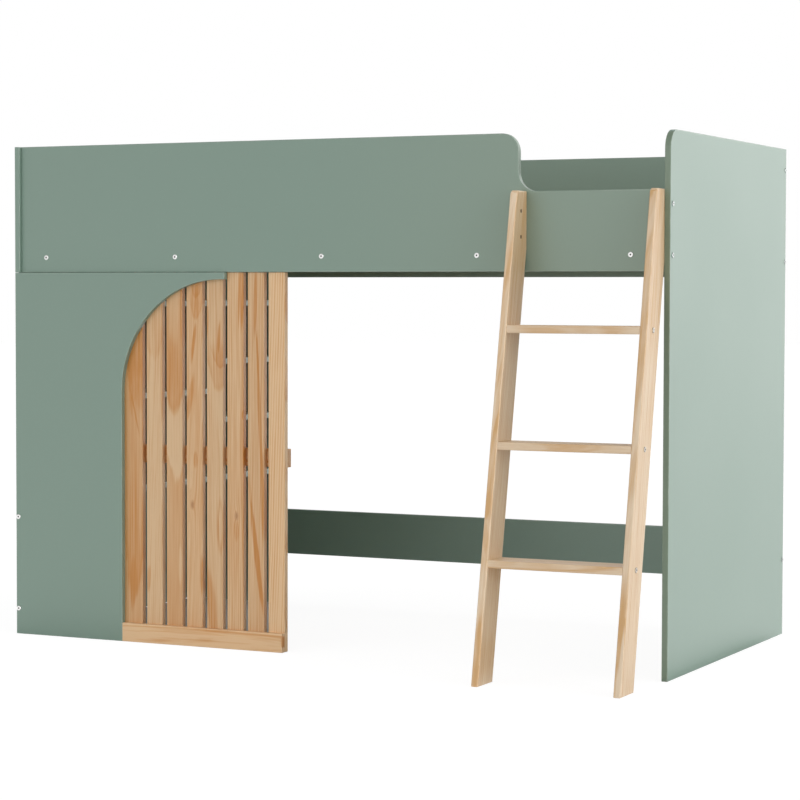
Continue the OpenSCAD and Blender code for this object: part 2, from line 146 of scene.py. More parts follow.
# ---------------------------------------------------------------- node trees
class Tree:
    """Short forms for writing a node tree, which is called t below."""

    def __init__(self, tree):
        self.tree = tree
        tree.nodes.clear()

    def node(self, kind, inputs=None, **settings):
        made = self.tree.nodes.new("ShaderNode" + kind)
        for key, value in settings.items():
            setattr(made, key, value)
        for key, value in (inputs or {}).items():
            self.feed(made.inputs[key], value)
        return made

    def feed(self, socket, value):
        if isinstance(value, bpy.types.NodeSocket):
            self.tree.links.new(value, socket)
        else:
            socket.default_value = value

    def math(self, operation, a, b=0.0, c=0.0):
        made = self.node("Math", {0: a, 1: b}, operation=operation)
        if operation == "MULTIPLY_ADD":
            self.feed(made.inputs[2], c)
        return made.outputs[0]

    def vector(self, operation, a, b=(0, 0, 0), scale=1.0):
        made = self.node("VectorMath", {0: a, 1: b}, operation=operation)
        self.feed(made.inputs[3], scale)
        return made.outputs["Value" if operation in ("LENGTH", "DOT_PRODUCT") else "Vector"]

    def stored(self, name, output="Fac"):
        """An attribute of the mesh: a number, or a vector where the output is "Vector"."""
        return self.node("Attribute", attribute_name=name).outputs[output]

    def parts(self, vector):
        return self.node("SeparateXYZ", {0: vector}).outputs

    def noise(self, vector, scale=1.0, detail=2.0, rough=0.5, colour=False):
        inputs = {"Vector": vector, "Scale": scale, "Detail": detail, "Roughness": rough}
        return self.node("TexNoise", inputs).outputs["Color" if colour else "Fac"]

    def shift(self, noise, reach):
        """A coloured noise as a shift to either side of 0."""
        return self.vector("MULTIPLY", self.vector("SUBTRACT", noise, (0.5, 0.5, 0.5)), reach)

    def span(self, value, low, high, out_low=0.0, out_high=1.0, kind="LINEAR"):
        inputs = {0: value, 1: low, 2: high, 3: out_low, 4: out_high}
        return self.node("MapRange", inputs, interpolation_type=kind).outputs[0]

    def fade(self, value, low, high, out_low=1.0, out_high=0.0):
        """A smooth span, which falls from 1 to 0 where nothing else is said."""
        return self.span(value, low, high, out_low, out_high, "SMOOTHSTEP")

    def rubbed(self, place, scale, least):
        """How far edges are rubbed: fully in patches, and by the least amount between them."""
        wear = self.noise(place, scale, 4, 0.65)
        return self.math("MULTIPLY", self.stored("rim"), self.fade(wear, 0.42, 0.66, least, 1.0))

    def mix(self, share, a, b, blend="MIX"):
        made = self.node("Mix", data_type="RGBA", blend_type=blend)
        self.feed(made.inputs[0], share)
        self.feed(made.inputs[6], a)
        self.feed(made.inputs[7], b)
        return made.outputs[2]

    def ramp(self, value, stops):
        made = self.node("ValToRGB", {0: value})
        points = made.color_ramp.elements
        while len(points) < len(stops):
            points.new(0.5)
        for point, (place, level) in zip(points, stops):
            point.position = place
            point.color = (level, level, level, 1)
        return made.outputs[0]


def material(name):
    made = bpy.data.materials.new(name)
    made.use_nodes = True
    return made, Tree(made.node_tree)


def finish_surface(t, colour, roughness, height, depth, strength, **constants):
    bump = t.node("Bump", {"Height": height, "Distance": depth, "Strength": strength})
    inputs = {"Base Color": colour, "Roughness": roughness, "Normal": bump.outputs[0]}
    surface = t.node("BsdfPrincipled", inputs)
    for key, value in constants.items():
        surface.inputs[key.replace("_", " ")].default_value = value
    t.node("OutputMaterial", {"Surface": surface.outputs[0]})


# Matt paint sprayed on fibreboard: a fine peel, faint clouds in the colour and the roughness, and
# edges that hands have rubbed a little paler and smoother. The attribute "rim" is 1 at an edge. A
# second attribute is 1 on the front guard, whose colour is painted paler and warmer towards the
# ladder: painted light, for the warm light from the right and off the ladder's wood. A third is 1 on
# the right end panel's front edge, painted darker and warmer: painted shade, for the shadow of the
# ladder's stile and the warm light off its wood.
def painted_board():
    made, t = material("sage_paint")
    place = t.node("TexCoord").outputs["Object"]
    clouds = t.noise(place, 2.3, 3)
    speck = t.noise(place, 420, 2)
    peel = t.noise(place, 700, 2)
    swell = t.noise(place, 45, 1)
    rubbed = t.rubbed(place, 16, 0.15)
    # Painted light: the front guard grows paler and warmer towards the ladder
    along = t.fade(t.parts(place)[0], -0.2, 0.85, 0, 1)
    tint = t.mix(clouds, SAGE, PALE_SAGE)
    tint = t.mix(t.math("MULTIPLY", along, t.stored("painted_light")), tint, PAINTED_LIGHT_TINT, "MULTIPLY")
    # Painted shade: the right end panel's front edge darker and warmer, as in the ladder stile's shadow
    tint = t.mix(t.stored("ladder_shade"), tint, LADDER_SHADE_TINT, "MULTIPLY")
    colour = t.mix(t.span(speck, 0.3, 0.7, 0.0, 0.05), tint, SAGE_SPECK)
    colour = t.mix(t.math("MULTIPLY", rubbed, 0.22), colour, RUBBED_SAGE)
    rough = t.math("MULTIPLY_ADD", clouds, 0.08, 0.42)
    rough = t.math("MULTIPLY_ADD", rubbed, -0.10, rough)
    height = t.math("MULTIPLY_ADD", swell, 2.0, peel)
    finish_surface(t, colour, rough, height, 0.00012, 0.35, Specular_IOR_Level=0.72)
    return made


# Timber is cut from a log. The attribute "log" is the place in it: x and y are metres from the pith
# and z metres along the grain. "cut" holds the width of a growth ring in millimetres, the contrast of
# the rings and their waviness, "tone" the piece's warmth, its brightness and the strength of its fine
# lines, and "knot" the place seen from the nearest knot, in metres. "rim" is 1 at an edge. One more
# attribute is 1 on the wall of a drilled hole, which is painted dark: painted shade, for the shade deep
# in the hole. A face can also carry marks of the figure. Each is an attribute that holds the place
# across and along the mark, in its own half width and length, and its strength: "tongue_1" and on are
# bands that start at a rounded tip, and "streak_1" and on soft-edged patches.
MARKS = {"tongue": 3, "streak": 6}


def with_marks(t, amount, stray):
    """The share of dark late wood with the marks of the figure added to it."""
    for kind, count in MARKS.items():
        for k in range(1, count + 1):
            place = t.vector("ADD", t.stored(f"{kind}_{k}", "Vector"), stray)
            across, along, strength = t.parts(place)
            squared = t.math("MULTIPLY", across, across)
            if kind == "tongue":
                inside = t.math("SUBTRACT", along, squared)
                body = t.math("MULTIPLY", t.fade(inside, -0.02, 0.09, 0, 1), t.fade(along, 0.3, 1.2))
                edge = t.math("MULTIPLY", t.fade(inside, -0.03, 0.03, 0, 1), t.fade(inside, 0.05, 0.2))
                shape = t.math("MULTIPLY_ADD", edge, 0.35, body)
            else:
                away = t.math("MULTIPLY_ADD", along, along, squared)
                shape = t.fade(away, 0.25, 1.2)
            amount = t.math("MULTIPLY_ADD", shape, strength, amount)
    return amount


def timber(name, early, late, warm):
    made, t = material(name)
    log = t.vector("SCALE", t.stored("log", "Vector"), scale=1000.0)
    width, contrast, wave = t.parts(t.stored("cut", "Vector"))
    warmth, brightness, fineness = t.parts(t.stored("tone", "Vector"))
    from_knot = t.vector("LENGTH", t.vector("MULTIPLY", t.stored("knot", "Vector"), (1, 0.45, 0)))

    def stretched(across, along, detail=2, rough=0.5, colour=False):
        """Noise that is stretched along the grain."""
        return t.noise(t.vector("MULTIPLY", log, (across, across, along)), 1, detail, rough, colour)

    # Growth rings, pushed about by slow and quick waves and swirling round a knot
    slow = stretched(0.014, 0.0021, colour=True)
    quick = stretched(0.09, 0.011, colour=True)
    push = t.vector("ADD", t.shift(slow, (2.4, 2.4, 0)), t.shift(quick, (0.34, 0.34, 0)))
    push = t.vector("SCALE", push, scale=wave)
    rings = t.vector("SCALE", t.vector("MULTIPLY", log, (1, 1, 0)), scale=t.math("DIVIDE", 1.0, width))
    euler = 2.718
    swirl = t.math("MULTIPLY", t.math("POWER", euler, t.math("MULTIPLY", from_knot, -120.0)), 1.4)
    ring = t.math("ADD", t.vector("LENGTH", t.vector("ADD", rings, push)), swirl)
    year = t.node("TexWhiteNoise", {"W": t.math("FLOOR", ring)}, noise_dimensions="1D").outputs["Value"]
    late_wood = [(0.0, 0.16), (0.12, 0.05), (0.42, 0.16), (0.80, 0.80), (0.93, 1.0), (1.0, 0.16)]
    band = t.ramp(t.math("FRACT", ring), late_wood)
    band = t.math("MULTIPLY", band, t.span(year, 0, 1, 0.6, 1.0))

    # Fine lines that follow the rings, fibres, pores, and blushes of late wood
    depth = t.math("DIVIDE", t.math("MULTIPLY", ring, width), 2.6)
    height = t.math("MULTIPLY", t.parts(log)[2], 0.004)
    line = t.noise(t.node("CombineXYZ", {0: depth, 1: height, 2: 0.0}).outputs[0], 1, 2, 0.6)
    fibre = stretched(0.42, 0.005, 3, 0.6)
    pores = t.fade(stretched(1.3, 0.016), 0.60, 0.76, 0.0, 1.0)
    blush = stretched(0.03, 0.0024, 1)

    lines = t.math("ADD", t.span(line, 0.25, 0.75, -0.26, 0.34), t.span(fibre, 0.3, 0.7, -0.09, 0.09))
    amount = t.math("MULTIPLY_ADD", lines, fineness, t.math("MULTIPLY", band, contrast))
    amount = t.math("ADD", amount, t.span(blush, 0.35, 0.65, -0.05, 0.12))
    amount = t.math("ADD", amount, warmth)
    stray = t.vector("ADD", t.shift(quick, (0.4, 0.16, 0)), t.shift(slow, (0.7, 0.2, 0)))
    amount = with_marks(t, amount, stray)

    rubbed = t.rubbed(t.node("TexCoord").outputs["Object"], 19, 0.1)
    colour = t.mix(t.node("Clamp", {0: amount}).outputs[0], early, late)
    colour = t.mix(t.math("MULTIPLY", pores, 0.28), colour, warm)
    colour = t.mix(t.fade(from_knot, 0.0035, 0.0080, 0.6), colour, KNOT_RIM)
    colour = t.mix(t.fade(from_knot, 0.0020, 0.0040, 0.7), colour, KNOT)
    glow = t.node("CombineColor", {0: brightness, 1: brightness, 2: brightness}).outputs[0]
    colour = t.mix(1.0, colour, glow, "MULTIPLY")
    colour = t.mix(t.math("MULTIPLY", rubbed, 0.25), colour, RUBBED_PINE)
    # Painted shade on the walls of the drilled holes
    colour = t.mix(t.math("MULTIPLY", t.stored("bore_shade"), 0.9), colour, BORE_SHADE)
    rough = t.math("MULTIPLY_ADD", fibre, 0.14, 0.40)
    rough = t.math("MULTIPLY_ADD", rubbed, -0.08, rough)
    relief = t.math("MULTIPLY_ADD", band, 0.6, t.math("ADD", fibre, line))
    finish_surface(t, colour, rough, relief, 0.00015, 0.3, Specular_IOR_Level=0.5)
    return made


# Zinc plate: bright, with faint turning marks and a cloudy bloom. The attribute "recess" is 1 inside
# the sockets and slots and a little less over a barrel nut, and darkens them with painted shade, as
# deep in a socket or a hole.
def zinc(name, bright, cloudy):
    made, t = material(name)
    place = t.node("TexCoord").outputs["Object"]
    bloom = t.noise(place, 260, 3)
    turning = t.noise(place, 2600, 2)
    tint = t.mix(bloom, bright, cloudy)
    tint = t.mix(t.math("MULTIPLY", t.stored("recess"), 0.93), tint, RECESS_SHADE)
    rough = t.math("MULTIPLY_ADD", bloom, 0.18, 0.24)
    finish_surface(t, tint, rough, turning, 0.00003, 0.4, Metallic=1.0)
    return made


PAINT = painted_board()
PINE = timber("pine", (0.715, 0.487, 0.276, 1), (0.545, 0.225, 0.046, 1), (0.42, 0.18, 0.06, 1))
PALE_PINE = timber("pale_pine", (0.780, 0.614, 0.434, 1), (0.620, 0.366, 0.155, 1),
                   (0.48, 0.26, 0.12, 1))
BEECH = timber("beech", (0.62, 0.40, 0.22, 1), (0.50, 0.29, 0.14, 1), (0.40, 0.22, 0.10, 1))
ZINC = zinc("zinc_plate", (0.63, 0.63, 0.62, 1), (0.50, 0.50, 0.49, 1))
DULL_ZINC = zinc("dull_zinc", (0.34, 0.315, 0.28, 1), (0.27, 0.25, 0.22, 1))
GREY_ZINC = zinc("grey_zinc", (0.29, 0.31, 0.30, 1), (0.23, 0.25, 0.24, 1))


# ---------------------------------------------------------------- outlines and prisms
ARC_STEP, ARC_TURN = 5, 0.3
RIM_FADE = 3
SHARP_EASE = 0.6
PLANES = {
    "X": lambda u, v, w: (w, u, v),
    "Y": lambda u, v, w: (u, w, v),
    "Z": lambda u, v, w: (u, v, w),
}


def inset_corners(corners, by):
    """The sharp corners of an anticlockwise outline moved inward, with their radii to match."""
    made = []
    count = len(corners)
    for i, (u, v, r) in enumerate(corners):
        here = Vector((u, v))
        first = (here - Vector(corners[i - 1][:2])).normalized()
        second = (Vector(corners[(i + 1) % count][:2]) - here).normalized()
        n1, n2 = Vector((-first.y, first.x)), Vector((-second.y, second.x))
        middle = (n1 + n2).normalized()
        moved = here + middle * (by / middle.dot(n1))
        hollow = first.x * second.y - first.y * second.x < 0
        made.append((moved.x, moved.y, r + by if hollow else max(r - by, 0.01)))
    return made


def outline(corners, by=0.0):
    """The points of an outline of (u, v, radius) corners, moved inward by a distance."""
    made = []
    count = len(corners)
    moved = inset_corners(corners, by)
    for i, (u, v, r) in enumerate(moved):
        here = Vector((u, v))
        radius = corners[i][2]
        if radius <= 0:
            made.append(here)
            continue
        back = (Vector(moved[i - 1][:2]) - here).normalized()
        ahead = (Vector(moved[(i + 1) % count][:2]) - here).normalized()
        half = back.angle(ahead) / 2
        reach = r / math.tan(half)
        centre = here + (back + ahead).normalized() * (r / math.sin(half))
        start = here + back * reach - centre
        end = here + ahead * reach - centre
        sweep = math.atan2(start.x * end.y - start.y * end.x, start.dot(end))
        steps = max(3, math.ceil((math.pi - 2 * half) / min(ARC_TURN, ARC_STEP / radius)))
        for k in range(steps + 1):
            turn = sweep * k / steps
            c, s = math.cos(turn), math.sin(turn)
            made.append(centre + Vector((start.x * c - start.y * s, start.x * s + start.y * c)))
    return made


def square(u0, v0, u1, v1, r=1.0):
    return [(u0, v0, r), (u1, v0, r), (u1, v1, r), (u0, v1, r)]


def skin(bm, loops, closed=False):
    """Faces between neighbouring loops of vertices, and over both ends unless the loops close up."""
    for a, b in zip(loops, loops[1:] + (loops[:1] if closed else [])):
        for i in range(len(a)):
            j = (i + 1) % len(a)
            bm.faces.new((a[i], a[j], b[j], b[i]))
    if not closed:
        bm.faces.new(loops[0])
        bm.faces.new(loops[-1])


def mesh_from(bm, name):
    mesh = bpy.data.meshes.new(name)
    bm.to_mesh(mesh)
    bm.free()
    return mesh


def prism_mesh(name, corners, low, high, across, ease, steps=3):
    """A board with this outline, from low to high along the axis across, with its edges eased. Its
    attribute "rim" is 1 at the eased edges and falls to 0 over RIM_FADE."""
    place = PLANES[across]
    bm = bmesh.new()
    rim = bm.verts.layers.float.new("rim")
    rings = [(low, ease + RIM_FADE, 0.0)] if ease > SHARP_EASE else []
    rings += [(low + ease * (1 - math.cos(a)), ease * (1 - math.sin(a)), 1.0)
              for a in (math.pi / 2 * k / steps for k in range(steps + 1))]
    if high - low > 2 * (ease + RIM_FADE) + 1:
        rings.append((low + ease + RIM_FADE, 0.0, 0.0))
    rings += [(low + high - w, by, edge) for w, by, edge in reversed(rings)]
    loops = []
    for w, by, edge in rings:
        loop = [bm.verts.new(metres(place(p.x, p.y, w))) for p in outline(corners, by)]
        for vertex in loop:
            vertex[rim] = edge
        loops.append(loop)
    skin(bm, loops)
    bmesh.ops.remove_doubles(bm, verts=bm.verts, dist=0.00004)
    bmesh.ops.recalc_face_normals(bm, faces=bm.faces)
    return mesh_from(bm, name)


def show(name, mesh, paint, node):
    """A piece of the visual model, smooth over its eased edges, which stands for a CAD node."""
    for polygon in mesh.polygons:
        polygon.use_smooth = True
    piece = bpy.data.objects.new(name, mesh)
    bpy.context.scene.collection.objects.link(piece)
    mesh.materials.append(paint)
    weigh = piece.modifiers.new("flat_faces", "WEIGHTED_NORMAL")
    weigh.weight = 80
    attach(piece, "root")
    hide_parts(node)


def less(mesh, cutter):
    """The mesh less the solids in a bmesh."""
    body = bpy.data.objects.new("body", mesh)
    tool = bpy.data.objects.new("cutter", mesh_from(cutter, "cutter"))
    for piece in (body, tool):
        bpy.context.scene.collection.objects.link(piece)
    cut = body.modifiers.new("cut", "BOOLEAN")
    cut.object = tool
    cut.solver = "EXACT"
    graph = bpy.context.evaluated_depsgraph_get()
    made = bpy.data.meshes.new_from_object(body.evaluated_get(graph), depsgraph=graph)
    for piece in (body, tool):
        bpy.data.objects.remove(piece)
    return made


def turned_to(direction, place):
    """The matrix that turns +Z to a direction and moves to a place, in metres."""
    turn = UP.rotation_difference(Vector(direction)).to_matrix().to_4x4()
    turn.translation = place
    return turn


def drilled(mesh, holes):
    """The mesh less round holes, given as (mouth, direction, radius, depth). The cutters start a little
    outside the mouths."""
    clear = 4
    cutter = bmesh.new()
    for mouth, direction, radius, depth in holes:
        made = bmesh.ops.create_cone(cutter, cap_ends=True, segments=32, radius1=radius / 1000,
                                     radius2=radius / 1000, depth=(depth + clear) / 1000)
        middle = metres(mouth) + Vector(direction) * ((depth - clear) / 2000)
        bmesh.ops.transform(cutter, matrix=turned_to(direction, middle), verts=made["verts"])
    return less(mesh, cutter)


def store(mesh, name, domain, values):
    """Stores a number for each vertex or face of a mesh, as an attribute that its material reads."""
    mesh.attributes.new(name, "FLOAT", domain).data.foreach_set("value", values)


# ---------------------------------------------------------------- places of the fasteners
GUARD_MID, REAR_MID = GUARD_FRONT + HALF_BOARD, REAR_FACE + HALF_BOARD
left_bolts = [(GUARD_MID, z) for z in LEFT_BOLT_Z] + [(REAR_MID, z) for z in REAR_BOLT_Z]
right_bolts = [(GUARD_MID, z) for z in RIGHT_BOLT_Z] + [(REAR_MID, z) for z in REAR_BOLT_Z]
front_nuts = [(x, GUARD_BACK, z) for x, heights in zip(END_NUT_X, (LEFT_BOLT_Z, RIGHT_BOLT_Z))
              for z in heights]
rear_nuts = [(x, BED.y, z) for z in REAR_BOLT_Z for x in END_NUT_X]

slat_mid = [slat_span(i)[1] - SLAT_W / 2 for i in range(1, SCREEN_SLATS + 1)]
mid_screws = [(x, SCREEN_BACK + SLAT_T, MID_RAIL_MID) for x in slat_mid]
foot_screws = [(x, SCREEN_BACK, FOOT_RAIL_MID) for x in slat_mid]
head_screws = [(x + HEAD_SCREW_SHIFT, SCREEN_BACK, HEAD_SCREW_Z) for x in slat_mid[:STRIP_SLATS]]

base_pitch = (BED.x - 2 * BOARD) / BASE_SLATS
base_mid = [BOARD + (i - 0.5) * base_pitch for i in range(1, BASE_SLATS + 1)]
base_screw_y = (GUARD_BACK + SIDE_RAIL_T / 2, REAR_FACE - SIDE_RAIL_T / 2)
base_screws = [(x, y, BASE_SLAT_TOP) for x in base_mid for y in base_screw_y]


def case_z(part):
    """The middle of a bookcase shelf at a part of the way from the bottom shelf to the top."""
    return CASE_Z + CASE_SPAN * part


case_screws = []
for x in CASE_SCREW_X:
    case_screws += [((x, BOARD, case_z(part)), BACK) for part in (0, 1 / 2)]
    case_screws += [((x, REAR_FACE, case_z(part)), -BACK) for part in (0, 1 / 3, 2 / 3, 1)]
    case_screws += [((x, y, CASE_TOP), -UP) for y in (BOARD + HALF_BOARD, SPLIT)]
    case_screws += [((x, SPLIT, CASE_Z - HALF_BOARD), UP), ((x, SPLIT + HALF_BOARD, case_z(1 / 2)), -BACK)]
    case_screws += [((x, SPLIT - HALF_BOARD, case_z(part)), BACK) for part in (1 / 3, 2 / 3)]
case_screws += [((0, y, z), RIGHT) for y in CASE_END_SCREW_Y for z in (CASE_Z, case_z(1))]


def sinks(inside):
    """Countersinks of the bookcase screws whose mouths pass a test."""
    return [(mouth, way, SINK_R, SINK_DEPTH) for mouth, way in case_screws if inside(mouth)]


def nut_holes(nuts):
    """Holes for barrel nuts in the back of a board."""
    return [(nut, -BACK, NUT_R, HALF_BOARD + NUT_HALF) for nut in nuts]


# ---------------------------------------------------------------- painted boards
def board(name, corners, low, high, across, holes=(), painted_light=False, ladder_shade=False):
    mesh = prism_mesh(name, corners, low, high, across, ease=1.2)
    if holes:
        mesh = drilled(mesh, holes)
    # Painted light on the front guard, paler and warmer towards the ladder
    if painted_light:
        store(mesh, "painted_light", "POINT", [1.0] * len(mesh.vertices))
    # Painted shade on the faces that face the front, for the ladder stile's shadow
    if ladder_shade:
        store(mesh, "ladder_shade", "FACE", [float(face.normal.y < -0.5) for face in mesh.polygons])
    show("painted_" + name, mesh, PAINT, name)


board("left_end_panel", [(BOARD, 0, 1), (BED.y, 0, 1), (BED.y, BED.z, 1), (0, BED.z, 1), (0, GUARD_Z, 0),
                         (BOARD, GUARD_Z, 0)], 0, BOARD, "X", holes=sinks(lambda mouth: mouth[0] == 0))
board("right_end_panel", [(0, 0, 1), (BED.y, 0, 1), (BED.y, BED.z, 1), (0, BED.z, TOP_ROUND)],
      INNER_X[1], BED.x, "X", ladder_shade=True)
board("front_guard", [(INNER_X[0], GUARD_Z, 1), (INNER_X[1], GUARD_Z, 1), (INNER_X[1], LOW_TOP, 1),
                      (STEP_X, LOW_TOP, STEP_HOLLOW), (STEP_X, BED.z, TOP_ROUND), (INNER_X[0], BED.z, 1)],
      GUARD_FRONT, GUARD_BACK, "Y", holes=nut_holes(front_nuts), painted_light=True)
for name, (z0, z1) in (("rear_guard", REAR_GUARD_Z), ("rear_lower_rail", LOWER_RAIL_Z)):
    board(name, square(INNER_X[0], z0, INNER_X[1], z1), REAR_FACE, BED.y, "Y",
          holes=nut_holes([nut for nut in rear_nuts if z0 < nut[2] < z1]))
board("arch_panel", [(0, 0, 1), (ARCH_X, 0, 1), (ARCH_X, ARCH_TOP, ARCH_R), (STRIP_END, ARCH_TOP, 1),
                     (STRIP_END, GUARD_Z - SEAM, 1), (0, GUARD_Z - SEAM, 1)], 0, BOARD, "Y")

for name, y, z0, z1, holes in [
    ("bookcase_front_side", BOARD, 0, CASE_TOP - BOARD, sinks(lambda mouth: mouth[1] == BOARD)),
    ("bookcase_rear_side", CASE_REAR, 0, SIDE_RAIL_Z[0], sinks(lambda mouth: mouth[1] == REAR_FACE)),
    ("bookcase_divider", SPLIT - HALF_BOARD, CASE_Z + HALF_BOARD, CASE_TOP - BOARD,
     sinks(lambda mouth: abs(mouth[1] - SPLIT) == HALF_BOARD)),
]:
    board(name, square(CASE_X[0], z0, CASE_X[1], z1), y, y + BOARD, "Y", holes=holes)
for name, y0, y1, part, holes in [
    ("bookcase_top", BOARD, CASE_REAR, 1, sinks(lambda mouth: mouth[2] == CASE_TOP)),
    ("bookcase_bottom_shelf", 2 * BOARD, CASE_REAR, 0,
     sinks(lambda mouth: mouth[2] == CASE_Z - HALF_BOARD)),
    ("bookcase_front_shelf", 2 * BOARD, SPLIT - HALF_BOARD, 1 / 2, ()),
    ("bookcase_lower_shelf", SPLIT + HALF_BOARD, CASE_REAR, 1 / 3, ()),
    ("bookcase_upper_shelf", SPLIT + HALF_BOARD, CASE_REAR, 2 / 3, ()),
]:
    z = case_z(part)
    board(name, square(CASE_X[0], y0, CASE_X[1], y1), z - HALF_BOARD, z + HALF_BOARD, "Z", holes=holes)


# ---------------------------------------------------------------- timber
def grain(mesh, origin, axes, ring, pith, slant=(0, 0), look=(0.6, 0.6), tone=(0, 1), fine=1.0, seed=0.0,
          knot=None, tongues=(), streaks=()):
    """Stores each vertex's place in the log. axes are the directions along the grain, across it and
    into the timber. ring is a growth ring's width, and pith the place of the pith across and behind
    the piece's face at origin. slant is how far the pith drifts for each millimetre along the grain,
    and look the contrast of the rings and their waviness. tone is the warmth and brightness, and fine
    the strength of the fine lines. knot is a knot's place, along and across from origin. A tongue or
    streak has its place across and along, half width, length, lean and strength."""
    along, across, into = axes
    places = [vertex.co * 1000 + ORIGIN - Vector(origin) for vertex in mesh.vertices]
    places = [(place.dot(across), place.dot(into), place.dot(along)) for place in places]
    made = {"log": [], "cut": [], "tone": [], "knot": []}
    for u, v, w in places:
        side, depth = u - pith[0] - slant[0] * w, pith[1] - v + slant[1] * w
        made["log"] += [side / 1000, depth / 1000, w / 1000 + seed]
        made["cut"] += [ring, *look]
        made["tone"] += [*tone, fine]
        made["knot"] += [(u - knot[1]) / 1000, (w - knot[0]) / 1000, 0] if knot else [1, 1, 1]
    for kind, marks in (("tongue", tongues), ("streak", streaks)):
        for k, (at, start, half, length, lean, strength) in enumerate(marks, 1):
            values = made[f"{kind}_{k}"] = []
            for u, v, w in places:
                values += [(u - at - lean * (w - start)) / half, (w - start) / length, strength]
    for name, values in made.items():
        layer = mesh.attributes.new(name, "FLOAT_VECTOR", "POINT")
        layer.data.foreach_set("vector", values)


def on_wall(place, mouth, direction, radius, depth):
    """Whether a place is on the wall or the bottom of a hole."""
    away = place - Vector(mouth)
    along = away.dot(Vector(direction))
    return 0.01 < along < depth + 0.1 and (away - along * Vector(direction)).length < radius * 1.01


def bored(mesh, holes):
    """Drills holes for barrel nuts and marks their walls for painted shade, as deep in a hole."""
    mesh = drilled(mesh, holes)
    places = [face.center * 1000 + ORIGIN for face in mesh.polygons]
    store(mesh, "bore_shade", "FACE", [float(any(on_wall(place, *hole) for hole in holes)) for place in places])
    return mesh


def sunk(mesh, screws, direction):
    """The mesh with a countersink for each screw that enters it this way."""
    return drilled(mesh, [(screw_head, direction, SINK_R, SINK_DEPTH) for screw_head in screws])


# The keywords that grain needs for each screen slat's own cut and figure, from the left
SLAT_CUTS = [
    dict(ring=9, pith=(-60, 20), slant=(0.01, 0), look=(0.16, 0.5), tone=(0.36, 1.0), fine=0.9,
         tongues=[(22, 613, 150, 1600, 0, 0.40), (-8, 104, 70, 600, 0, 0.30)],
         streaks=[(-6, 170, 14, 80, 0, 0.2), (18, 430, 12, 190, 0, -0.16), (2, 640, 3, 70, -0.22, 0.35)]),
    dict(ring=10, pith=(-50, 25), slant=(0.03, 0), look=(0.18, 0.5), tone=(-0.06, 1.0), fine=1.4,
         tongues=[(-3, 790, 60, 260, 0, 0.18)],
         streaks=[(-19, 178, 8, 42, 0.05, 0.5), (24, 745, 6, 150, 0, 0.4), (24, 300, 5, 120, 0, 0.25)]),
    dict(ring=8, pith=(-55, 25), slant=(0.01, 0), look=(0.12, 0.5), tone=(0.36, 1.0), fine=0.7,
         tongues=[(3, 439, 56, 330, 0, -0.48), (0, 637, 60, 260, 0, 0.46), (-2, 806, 40, 900, 0, -0.16)],
         streaks=[(24, 930, 6, 110, 0, 0.4), (18, 222, 7, 60, 0, -0.35), (-16, 690, 5, 60, 0, 0.18)]),
    dict(ring=7, pith=(-30, 18), slant=(0.04, 0), look=(0.28, 0.9), tone=(0.10, 1.03), fine=1.2,
         knot=(391, -7), tongues=[(2, 900, 30, 120, 0.05, 0.28), (3, 962, 26, 90, 0.05, 0.2)],
         streaks=[(-3, 838, 6, 62, 0.12, 0.6), (-13, 690, 9, 70, 0.16, 0.4), (3, 516, 8, 26, 0, 0.35),
                  (22, 197, 6, 62, 0, 0.5), (10, 620, 4, 120, 0.05, 0.25)]),
    dict(ring=7, pith=(40, 22), slant=(-0.02, 0), look=(0.26, 0.8), tone=(0.06, 0.98), fine=1.4,
         tongues=[(20, 705, 56, 140, 0, 0.30), (19, 768, 34, 70, 0, 0.26)],
         streaks=[(-23, 910, 6, 60, 0, 0.45), (14, 855, 5, 48, 0.05, 0.55), (18, 333, 12, 86, 0, 0.5),
                  (18, 335, 6, 62, 0, -0.55), (-14, 120, 18, 105, -0.1, 0.42)]),
    dict(ring=7, pith=(70, 15), slant=(0, 0), look=(0.46, 0.6), tone=(0.05, 1.02), fine=1.6, knot=(366, 4),
         streaks=[(19, 980, 8, 110, 0, 0.55), (25, 644, 4, 14, 0, 1.1), (24, 620, 6, 460, 0, 0.4),
                  (4, 325, 9, 34, 0, 0.25), (11, 955, 2.5, 90, 0, 0.55)]),
    dict(ring=8, pith=(-40, 20), slant=(0.01, 0), look=(0.32, 0.6), tone=(0.10, 0.98), fine=1.3,
         streaks=[(-1, 955, 6, 110, 0.02, 0.65), (6, 800, 3.5, 75, -0.05, 0.8),
                  (12, 640, 6, 170, -0.04, 0.6), (3, 255, 9, 160, -0.13, 0.8),
                  (21, 440, 8, 150, -0.03, 0.6), (-18, 430, 5, 90, -0.12, 0.3)]),
    dict(ring=7.6, pith=(-90, 12), slant=(0.035, 0), look=(1.0, 0.45), tone=(-0.34, 1.11), fine=1.4),
]
UPRIGHT, LYING = (UP, RIGHT, BACK), (RIGHT, UP, BACK)
CORNER_R, SCREEN_EASE = 1.6, 0.8
GRAIN_X, GRAIN_Y = 600, 500

for i, cut in enumerate(SLAT_CUTS, 1):
    node = f"screen_slat_{i}"
    x0, x1 = slat_span(i)
    mesh = prism_mesh(node, square(x0, BOARD, x1, SCREEN_BACK, CORNER_R), 0, GUARD_Z - SEAM, "Z",
                      SCREEN_EASE)
    mesh = sunk(mesh, [place for place in foot_screws + head_screws if x0 < place[0] < x1], -BACK)
    grain(mesh, (slat_mid[i - 1], BOARD, 0), UPRIGHT, seed=i * 7.3, **cut)
    show(f"slat_{i}", mesh, PINE, node)

